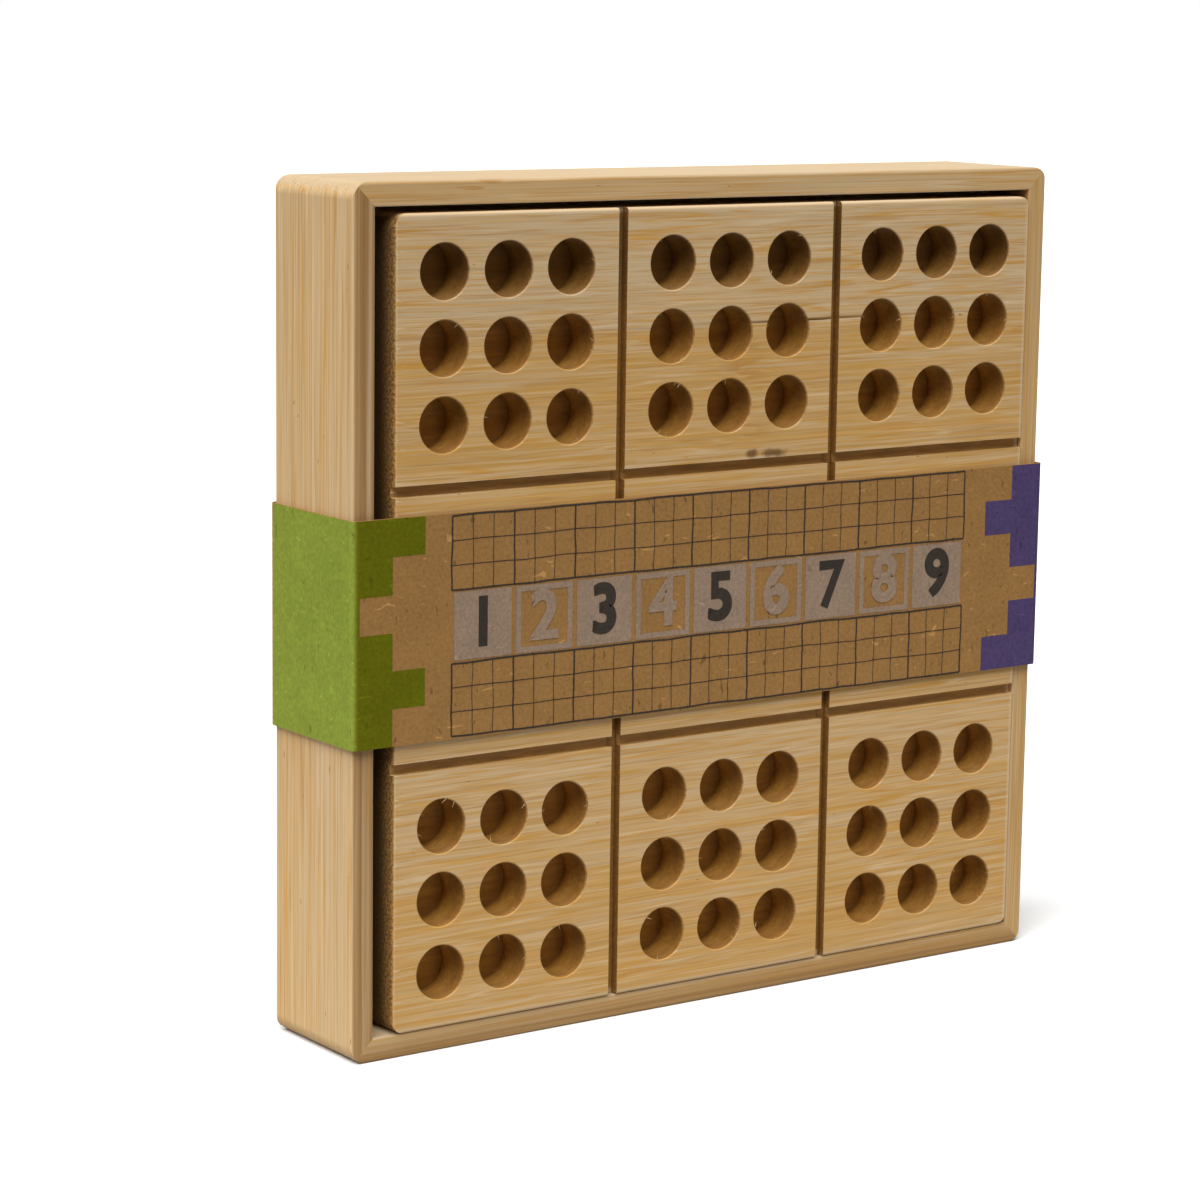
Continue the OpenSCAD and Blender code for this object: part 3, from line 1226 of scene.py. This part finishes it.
@dataclass
class PaperBand:
    """The card band around the tray: one strip, folded round and glued on its own end at the back."""

    node: str = "paper_band"
    body: str = "band"
    slot: str = "kraft_card"
    # The second colour of each card is its painted light on the band's sides.
    kraft: Card = Card("kraft_card", (0.306, 0.161, 0.053), (0.445, 0.280, 0.125))
    taupe: Card = Card("taupe_ink", (0.295, 0.207, 0.144), (0.40, 0.31, 0.25), 0.5)
    green: Card = Card("green_ink", (0.116, 0.120, 0.003), (0.215, 0.265, 0.036), 0.7)
    purple: Card = Card("purple_ink", (0.076, 0.052, 0.134), (0.15, 0.11, 0.26), 0.7)
    pen: Card = Card("pen_ink", (0.046, 0.036, 0.028), (0.070, 0.058, 0.048), 0.2)
    card: float = 0.0004
    inset: float = 0.00012
    corner: float = 0.0014
    corner_parts: int = 8
    crease_angle: float = 50.0
    lap: float = 0.016
    tuck_run: float = 0.004
    trim: float = 0.00002
    bow: float = 0.00016
    bow_level: float = 0.7
    bow_lean: float = 0.6
    ripple: float = 0.00006
    ripple_along: float = 74.0
    ripple_slant: float = 38.0
    ripple_up: float = 61.0
    ripple_shift: float = 1.3
    step: float = 0.004
    closest: float = 1e-6
    rows: int = 12
    print_lift: float = 0.00003
    green_steps: tuple[float, ...] = (1.0, 2.0, 1.0, 0.0, 1.0, 2.0)
    purple_steps: tuple[float, ...] = (2.0, 1.0, 0.0, 1.0, 2.0, 1.0)
    cell: float = 0.0124
    cell_pitch: float = 0.0134
    cell_line: float = 0.0011
    cell_parts: int = 3
    numeral: float = 0.0125
    numeral_weight: float = 0.0010
    rule_fine: float = 0.00016
    rule_bold: float = 0.00034
    rule_sway: float = 0.0007
    half: Vector = field(default_factory=Vector)
    middle: Vector = field(default_factory=Vector)

    def measure(self) -> None:
        """Reads the band's size from its CAD node."""
        low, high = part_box(self.node)
        self.half = (high - low) / 2 - Vector((self.inset, self.inset, 0.0))
        self.middle = (high + low) / 2

    @property
    def front(self) -> float:
        """Half the flat width of the front."""
        return self.half.x - self.corner

    @property
    def side(self) -> float:
        """Flat width of one side."""
        return 2 * (self.half.y - self.corner)

    @property
    def bend(self) -> float:
        """Length of the card around one corner."""
        return math.pi / 2 * self.corner

    @property
    def back(self) -> float:
        """Way along the card from the middle of the front to the end of a side."""
        return self.front + self.bend + self.side

    @property
    def around(self) -> float:
        """Half the length around the band."""
        return 2 * self.front + 2 * self.bend + self.side

    def outline(self, s: float) -> tuple[Vector, Vector]:
        """Follows the band's outside in plan.

        Args:
            s: Way along the card from the middle of the front, to the right.

        Returns:
            The point and the outward normal there.
        """
        s = (s + self.around) % (2 * self.around) - self.around
        mirror = -1.0 if s < 0 else 1.0
        left = abs(s)
        for start, heading, flat in (
            ((0.0, -self.half.y), (1.0, 0.0), self.front),
            ((self.half.x, -self.half.y + self.corner), (0.0, 1.0), self.side),
            ((self.front, self.half.y), (-1.0, 0.0), self.front),
        ):
            if left <= flat + self.bend:
                break
            left -= flat + self.bend
        ahead = Vector(heading)
        normal = Vector((ahead.y, -ahead.x))
        spot = Vector(start) + ahead * min(left, flat)
        if left > flat:
            swing = (left - flat) / self.corner
            centre = spot - normal * self.corner
            normal = normal * math.cos(swing) + ahead * math.sin(swing)
            spot = centre + normal * self.corner
        return Vector((spot.x * mirror, spot.y, 0)), Vector((normal.x * mirror, normal.y, 0))

    def place(self, s: float, h: float, lift: float = 0.0) -> Vector:
        """Wraps a point of the flat card onto the band.

        Args:
            s: Way along the card from the middle of the front, to the right.
            h: Height above the middle of the band.
            lift: Distance outwards from the card's outer face.

        Returns:
            The point in the part's frame.
        """
        spot, normal = self.outline(s)
        share = min(1.0, abs(s) / self.front)
        dip = self.bow * (1 - share * share) * (self.bow_level + self.bow_lean * h / self.half.z)
        wave = math.sin(s * self.ripple_along + h * self.ripple_slant)
        wave *= math.sin(h * self.ripple_up + self.ripple_shift)
        sunk = max(0.0, dip + self.ripple * wave * (1 - share**4))
        return self.middle + spot + normal * (lift - sunk) + Vector((0, 0, h))

    def stations(self, start: float, end: float) -> list[float]:
        """Picks places along the card, close together round the corners.

        Args:
            start: First place.
            end: Last place.

        Returns:
            Sorted places from start to end.
        """
        picks = {start, end}
        for first in (self.front, self.back):
            for part in range(self.corner_parts + 1):
                bent = first + self.bend * part / self.corner_parts
                picks.update((bent, -bent))
        picks.update(start + self.step * number for number in range(int((end - start) / self.step) + 1))
        ordered = sorted(p for p in picks if start <= p <= end)
        return ordered[:1] + [b for a, b in zip(ordered, ordered[1:]) if b - a > self.closest]

    def build_card(self) -> Piece:
        """Folds the strip round, with its end under the other at the back.

        Returns:
            The card, which stands for the CAD band.
        """
        start, end = -self.around - self.lap / 2, self.around + self.lap / 2
        under, over = start + self.lap, start + self.lap + self.tuck_run
        points, faces = [], []
        stops = self.stations(start, end)
        heights = [self.half.z * (2 * row / self.rows - 1) for row in range(self.rows + 1)]
        for depth in (0.0, -self.card):
            for s in stops:
                tuck = max(0.0, min(1.0, (over - s) / (over - under)))
                points += [self.place(s, h, depth - tuck * (self.card + self.trim)) for h in heights]
        ring, layer = len(heights), len(heights) * len(stops)
        for i in range(len(stops) - 1):
            for j in range(self.rows):
                a, b = i * ring + j, (i + 1) * ring + j
                faces.append((a, b, b + 1, a + 1))
                faces.append((a + layer, a + layer + 1, b + layer + 1, b + layer))
            for j in (0, self.rows):
                a, b = i * ring + j, (i + 1) * ring + j
                faces.append((a, a + layer, b + layer, b) if j == 0 else (a, b, b + layer, a + layer))
        last = (len(stops) - 1) * ring
        for j in range(self.rows):
            faces.append((j, j + 1, j + 1 + layer, j + layer))
            faces.append((last + j, last + j + layer, last + j + 1 + layer, last + j + 1))
        mesh = mesh_of("band_card", points, faces)
        mesh.shade_smooth()
        mesh.set_sharp_from_angle(angle=math.radians(self.crease_angle))
        mesh.materials.append(self.kraft.material())
        piece = link(mesh)
        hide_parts(self.node)
        return piece

    def print_mesh(self, mesh: Mesh, layer: Layer) -> Piece:
        """Lays a flat mesh on the card and makes it a piece.

        Args:
            mesh: Mesh whose X runs along the card and whose Y runs up it.
            layer: Layer of the print.

        Returns:
            The piece.
        """
        for vertex in mesh.vertices:
            lift = layer.value * self.print_lift + vertex.co.z
            vertex.co = self.place(vertex.co.x, vertex.co.y, lift)
        mesh.update()
        return link(mesh)

    def print_boxes(self, name: str, ink: Material, layer: Layer, boxes: list[tuple[float, ...]]) -> Piece:
        """Prints rectangles, cut up so that they follow the card.

        Args:
            name: Name of the piece.
            ink: Material of the print.
            layer: Layer of the print.
            boxes: Left, lower, right and upper bound of each rectangle, along and up the card.

        Returns:
            The piece.
        """
        points: list[Point] = []
        faces: list[tuple[int, ...]] = []
        for left, low, right, high in boxes:
            base = len(points)
            points += [(s, h, 0.0) for s in self.stations(left, right) for h in (low, high)]
            faces += [(a, a + 2, a + 3, a + 1) for a in range(base, len(points) - 2, 2)]
        mesh = mesh_of(name, points, faces)
        mesh.materials.append(ink)
        return self.print_mesh(mesh, layer)

    def build_panel(self, name: str, ink: Material, edges: list[Range]) -> Piece:
        """Prints a panel with a stepped side.

        Args:
            name: Name of the piece.
            ink: Material of the print.
            edges: Start and end along the card of each row, from the lowest.

        Returns:
            The panel.
        """
        rows = len(edges)
        levels = [-self.half.z + 2 * self.half.z * row / rows for row in range(rows + 1)]
        levels[0] += self.trim
        levels[-1] -= self.trim
        boxes = [(left, low, right, high) for (left, right), low, high in zip(edges, levels, levels[1:])]
        return self.print_boxes(name, ink, Layer.PANEL, boxes)

    def build_cells(self, ink: Material) -> Piece:
        """Prints nine square cells in a row, the odd ones solid and the even ones as frames.

        Args:
            ink: Material of the print.

        Returns:
            The cells.
        """
        outer, inner = self.cell / 2, self.cell / 2 - self.cell_line
        solid = [(-outer, -outer, outer, outer)]
        framed = [
            (-outer, -outer, outer, -inner),
            (-outer, inner, outer, outer),
            (-outer, -inner, -inner, inner),
            (inner, -inner, outer, inner),
        ]
        boxes = []
        for number in range(DIGITS):
            s = (number - DIGITS // 2) * self.cell_pitch
            for left, low, right, high in framed if number % 2 else solid:
                boxes.append((s + left, low, s + right, high))
        return self.print_boxes("band_cells", ink, Layer.CELL, boxes)

    def build_numerals(self, tool: NodeTool, inks: tuple[Material, ...]) -> list[Piece]:
        """Prints a numeral in each cell.

        Args:
            tool: Tree that sets numerals.
            inks: Materials of the print in solid cells and in frames.

        Returns:
            One piece for each numeral.
        """
        made = []
        for number in range(DIGITS):
            mesh = tool.make(
                f"band_numeral_{number + 1}",
                [((number - DIGITS // 2) * self.cell_pitch, 0.0, 0.0)],
                Digit=str(number + 1),
                Size=self.numeral,
                Weight=self.numeral_weight,
                Turn=Vector((0, 0, 0)),
                Material=inks[number % 2],
            )
            made.append(self.print_mesh(mesh, Layer.NUMERAL))
        return made

    def build_rules(self, ink: Material) -> list[Piece]:
        """Rules a blank number grid above and below the cells.

        Args:
            ink: Material of the lines.

        Returns:
            One piece for each direction and weight of line.
        """
        tool = ruling_tool()
        pitch, width, part = self.cell_pitch, DIGITS * self.cell_pitch, self.cell_pitch / self.cell_parts
        level: dict[bool, list[Point]] = {False: [], True: []}
        upright: dict[bool, list[Point]] = {False: [], True: []}
        for side in (-1, 1):
            for number in range(self.cell_parts + 1):
                spot = (0.0, side * (pitch / 2 + number * part), 0.0)
                level[number % self.cell_parts == 0].append(spot)
            for number in range(self.cell_parts * DIGITS + 1):
                spot = (number * part - width / 2, side * pitch, 0.0)
                upright[number % self.cell_parts == 0].append(spot)
        made = []
        for name, sets, length, angle in (
            ("level", level, width, 0.0),
            ("upright", upright, pitch, math.pi / 2),
        ):
            for bold, points in sets.items():
                mesh = tool.make(
                    f"band_{name}_{'borders' if bold else 'rules'}",
                    points,
                    Length=length,
                    Width=self.rule_bold if bold else self.rule_fine,
                    Turn=Euler((0.0, 0.0, angle)),
                    Sway=self.rule_sway,
                    Material=ink,
                )
                made.append(self.print_mesh(mesh, Layer.RULE))
        return made

    def build(self, numerals: NodeTool) -> None:
        """Builds the card and its print.

        Args:
            numerals: Tree that sets numerals.
        """
        self.measure()
        card = self.build_card()
        taupe, pen = self.taupe.material(), self.pen.material()
        square = 2 * self.half.z / len(self.green_steps)
        greens = [(-self.back, -self.front + square * count) for count in self.green_steps]
        purples = [(self.front - square * count, self.back) for count in self.purple_steps]
        pieces = [
            card,
            self.build_cells(taupe),
            *self.build_numerals(numerals, (pen, taupe)),
            *self.build_rules(pen),
            self.build_panel("band_green", self.green.material(), greens),
            self.build_panel("band_purple", self.purple.material(), purples),
        ]
        for piece in pieces:
            keep(piece, self.body, self.slot)


@dataclass(frozen=True)
class Lamp:
    """A broad soft light, with the direction that it comes from and its width in degrees."""

    name: str
    source: Point
    angle: float
    strength: float

    def build(self) -> None:
        """Hangs the lamp so that it faces the part."""
        data = bpy.data.lights.new(self.name, "SUN")
        data.energy = self.strength
        data.angle = math.radians(self.angle)
        lamp = bpy.data.objects.new(self.name, data)
        lamp.location = self.source
        lamp.rotation_euler = Vector(self.source).to_track_quat("Z", "Y").to_euler()
        bpy.context.scene.collection.objects.link(lamp)


@dataclass
class Studio:
    """Floor, soft light and the camera of the photograph."""

    lens: float = 105.74
    sensor: float = 36.0
    clip_start: float = 0.01
    clip_end: float = 50.0
    eye: Point = (-0.39926, -0.53498, 0.18963)
    right: Point = (0.81515, -0.57908, 0.01391)
    up: Point = (0.08623, 0.14506, 0.98565)
    back: Point = (-0.57279, -0.80227, 0.16818)
    floor_half: float = 30.0
    floor_pale: Colour = (0.90, 0.90, 0.89)
    floor_lit: Colour = (0.44, 0.44, 0.435)
    floor_dim: Colour = (0.06, 0.06, 0.06)
    floor_edge: Range = (0.18, 0.55)
    sky_low: float = 0.05
    sky_high: float = 0.42
    lamps: tuple[Lamp, ...] = (
        Lamp("key_light", (-0.37, -0.31, 0.88), 56.0, 4.6),
        Lamp("side_light", (-0.96, 0.22, 0.18), 40.0, 0.6),
    )

    def build(self) -> None:
        """Builds the whole set."""
        self.build_camera()
        self.build_floor()
        self.build_world()
        for lamp in self.lamps:
            lamp.build()
        bpy.context.scene.view_settings.view_transform = "Standard"

    def build_camera(self) -> None:
        """Stands the camera where the photograph was taken from."""
        data = bpy.data.cameras.new("camera")
        data.lens = self.lens
        data.sensor_width = self.sensor
        data.clip_start = self.clip_start
        data.clip_end = self.clip_end
        camera = bpy.data.objects.new("camera", data)
        axes = Matrix((self.right, self.up, self.back)).transposed().to_4x4()
        camera.matrix_world = Matrix.Translation(self.eye) @ axes
        bpy.context.scene.collection.objects.link(camera)
        bpy.context.scene.camera = camera

    def build_floor(self) -> None:
        """Lays the plain floor, pale to the camera and darker to the part."""
        r = self.floor_half
        corners = [(-r, -r, 0), (r, -r, 0), (r, r, 0), (-r, r, 0)]
        floor = link(mesh_of("floor", corners, [(0, 1, 2, 3)]))
        material, graph, shader = new_material("floor_paper")
        seen = graph.node("ShaderNodeLightPath").outputs["Is Camera Ray"]
        where = graph.node("ShaderNodeTexCoord").outputs["Object"]
        away = graph.smooth(graph.vector("LENGTH", where), self.floor_edge)
        lit = graph.mix(away, self.floor_lit, self.floor_dim)
        graph.feed(shader.inputs["Base Color"], graph.mix(seen, lit, self.floor_pale))
        graph.feed(shader.inputs["Roughness"], 1.0)
        graph.feed(shader.inputs["Specular IOR Level"], 0.0)
        floor.data.materials.append(material)
        floor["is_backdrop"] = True

    def build_world(self) -> None:
        """Makes the background white to the camera and a dim soft light to the part."""
        world = bpy.data.worlds.new("studio")
        world.use_nodes = True
        world.node_tree.nodes.clear()
        graph = Graph(world.node_tree)
        path = graph.node("ShaderNodeLightPath").outputs
        seen = graph.math("MAXIMUM", path["Is Camera Ray"], path["Is Glossy Ray"])
        seen = graph.math("MAXIMUM", seen, path["Is Transmission Ray"])
        rise = graph.split(graph.node("ShaderNodeTexCoord").outputs["Generated"]).z
        level = graph.fit(graph.smooth(rise, (0.0, 1.0)), self.sky_high - self.sky_low, self.sky_low)
        soft = graph.first("ShaderNodeBackground", {"Color": WHITE, "Strength": level})
        white = graph.first("ShaderNodeBackground", {"Color": WHITE, "Strength": 1.0})
        mixed = graph.first("ShaderNodeMixShader", {0: seen, 1: soft, 2: white})
        graph.node("ShaderNodeOutputWorld", {"Surface": mixed})
        bpy.context.scene.world = world


def write_sizes() -> None:
    """Works out the CAD box and the dressed part's box, and keeps neither."""
    boxes = {"cad": CAD_BOX, "visual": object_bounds()}
    {name: [list(low), list(high)] for name, (low, high) in boxes.items()}


def main() -> None:
    """Builds and dresses the part, then the studio around it."""
    logging.basicConfig(level=logging.INFO, format="%(name)s: %(message)s")
    Tray().dress()
    board = PegBoard()
    board.measure()
    board.dress()
    board.build_fibres()
    numerals = numeral_tool()
    ink = Card("peg_ink", (0.060, 0.040, 0.025), (0.060, 0.040, 0.025), 0.2).material()
    for digit in range(1, DIGITS + 1):
        column = PegColumn(digit)
        column.dress()
        column.build_numerals(numerals, ink)
    PaperBand().build(numerals)
    Studio().build()
    write_sizes()


if __name__ == "__main__":
    main()
